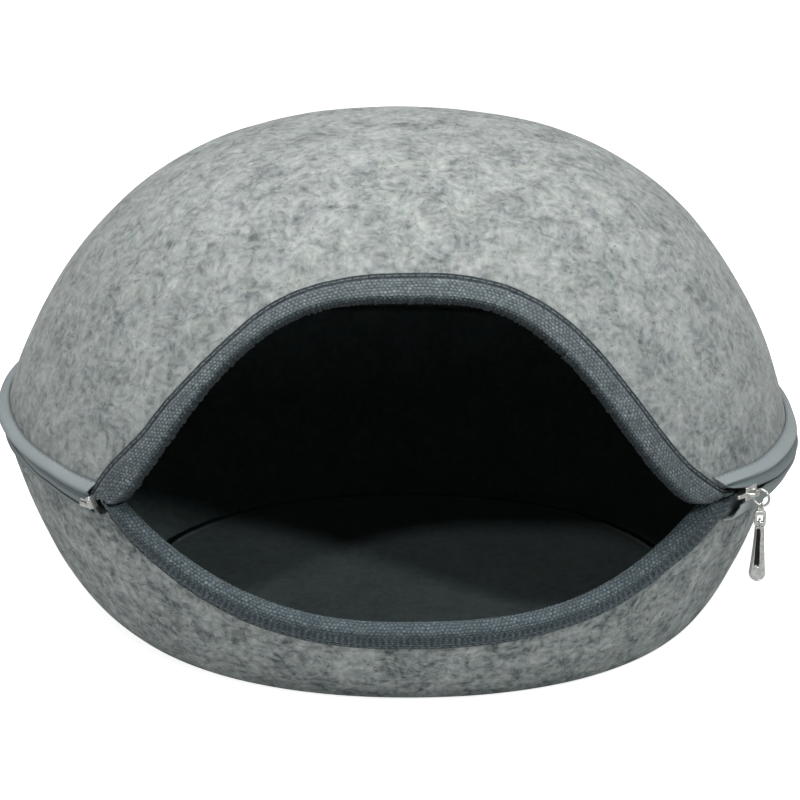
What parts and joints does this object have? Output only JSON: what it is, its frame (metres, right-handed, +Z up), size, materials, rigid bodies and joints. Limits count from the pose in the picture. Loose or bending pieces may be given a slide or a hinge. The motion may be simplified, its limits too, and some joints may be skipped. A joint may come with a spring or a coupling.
{
  "type": "cat cave",
  "caption": "Moulded felt cat cave: an oval dome zipped to a flat-based bowl, with an arched front mouth bound in folded webbing and a metal zip pull.",
  "frame": {"origin": "on the floor, on the flat base, under the middle of the oval", "axes": "+X to the right along the oval's long side, towards the zip pull, +Y to the back with the mouth facing -Y, +Z up"},
  "size_m": [0.4357, 0.328, 0.274],
  "materials": {
    "felt": "mottled grey pressed felt, matte",
    "webbing": "twill webbing, matte",
    "zip_tape": "smooth woven tape, satin",
    "zip_coil": "nylon coil, satin",
    "metal": "bright nickel plate"
  },
  "bodies": {
    "root": {"upper_shell": "felt", "lower_shell": "felt", "upper_binding": "webbing", "lower_binding": "webbing", "upper_zip_tape": "zip_tape", "lower_zip_tape": "zip_tape", "zip_chain": "zip_coil", "zip_slider": "metal", "pull_ring": "metal", "pull_connector": "metal", "zip_pull": "metal", "zip_end_box": "metal"}
  },
  "joints": []
}
